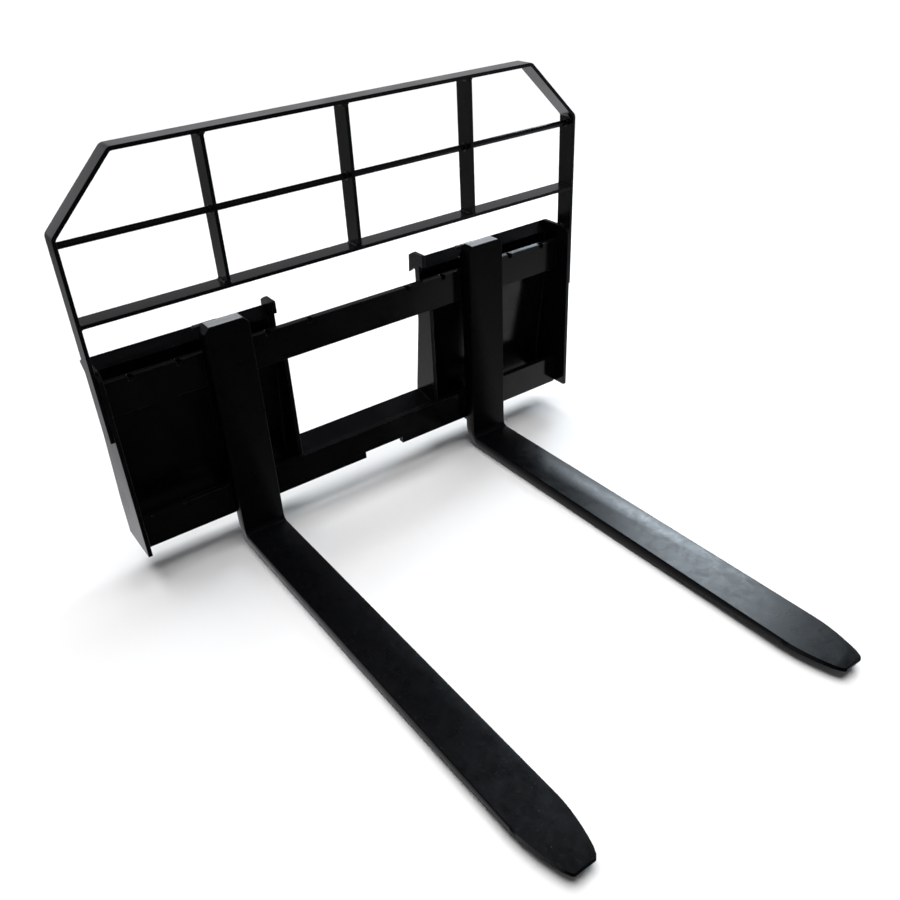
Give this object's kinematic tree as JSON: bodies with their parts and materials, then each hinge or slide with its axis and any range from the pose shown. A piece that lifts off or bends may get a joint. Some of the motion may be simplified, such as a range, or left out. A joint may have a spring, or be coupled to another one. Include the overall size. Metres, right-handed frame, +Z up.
{
  "type": "pallet fork attachment",
  "caption": "Loader pallet fork attachment: welded carriage with bar-work load guard and machine-side hook plates, carrying sliding L-shaped forks with drop-pin latches.",
  "frame": {"origin": "on the ground, midway between the guard's posts and midway between the fork tips and the rearmost hook", "axes": "+X to the right seen from the load side, +Y back towards the machine, +Z up"},
  "size_m": [1.2192, 1.1854, 0.9191],
  "materials": {
    "frame_paint": "gloss black powder coat",
    "fork_paint": "gloss black paint over a forging",
    "zinc": "zinc plated",
    "spring_steel": "oiled spring wire",
    "blank_plate": "pale satin, blank"
  },
  "bodies": {
    "carriage": {"guard_hoop": "frame_paint", "lower_rail": "frame_paint", "cross_rod": "frame_paint", "upright_left": "frame_paint", "upright_centre": "frame_paint", "upright_right": "frame_paint", "upper_carriage_bar": "frame_paint", "lower_carriage_bar": "frame_paint", "outer_plate_left": "frame_paint", "outer_plate_right": "frame_paint", "inner_plate_left": "frame_paint", "inner_plate_right": "frame_paint", "attach_plate_left": "frame_paint", "attach_plate_right": "frame_paint", "window_shelf": "frame_paint"},
    "left_fork": {"fork_left": "fork_paint", "top_hook_left": "fork_paint", "bottom_hook_left": "fork_paint", "latch_spring_left": "spring_steel", "shank_cap_left": "blank_plate"},
    "right_fork": {"fork_right": "fork_paint", "top_hook_right": "fork_paint", "bottom_hook_right": "fork_paint", "latch_spring_right": "spring_steel", "shank_cap_right": "blank_plate"},
    "left_latch": {"latch_pin_left": "zinc", "latch_collar_left": "zinc"},
    "right_latch": {"latch_pin_right": "zinc", "latch_collar_right": "zinc"}
  },
  "joints": [
    {"name": "left_fork_slide", "type": "slide", "parent": "carriage", "child": "left_fork", "axis": [1, 0, 0], "range_m": [-0.2032, 0.2032]},
    {"name": "right_fork_slide", "type": "slide", "parent": "carriage", "child": "right_fork", "axis": [1, 0, 0], "range_m": [-0.2032, 0.2032]},
    {"name": "left_latch_drop", "type": "slide", "parent": "left_fork", "child": "left_latch", "axis": [0, 0, 1], "range_m": [-0.0095, 0], "deforming": ["latch_spring_left"]},
    {"name": "right_latch_drop", "type": "slide", "parent": "right_fork", "child": "right_latch", "axis": [0, 0, 1], "range_m": [-0.0095, 0], "deforming": ["latch_spring_right"]}
  ]
}
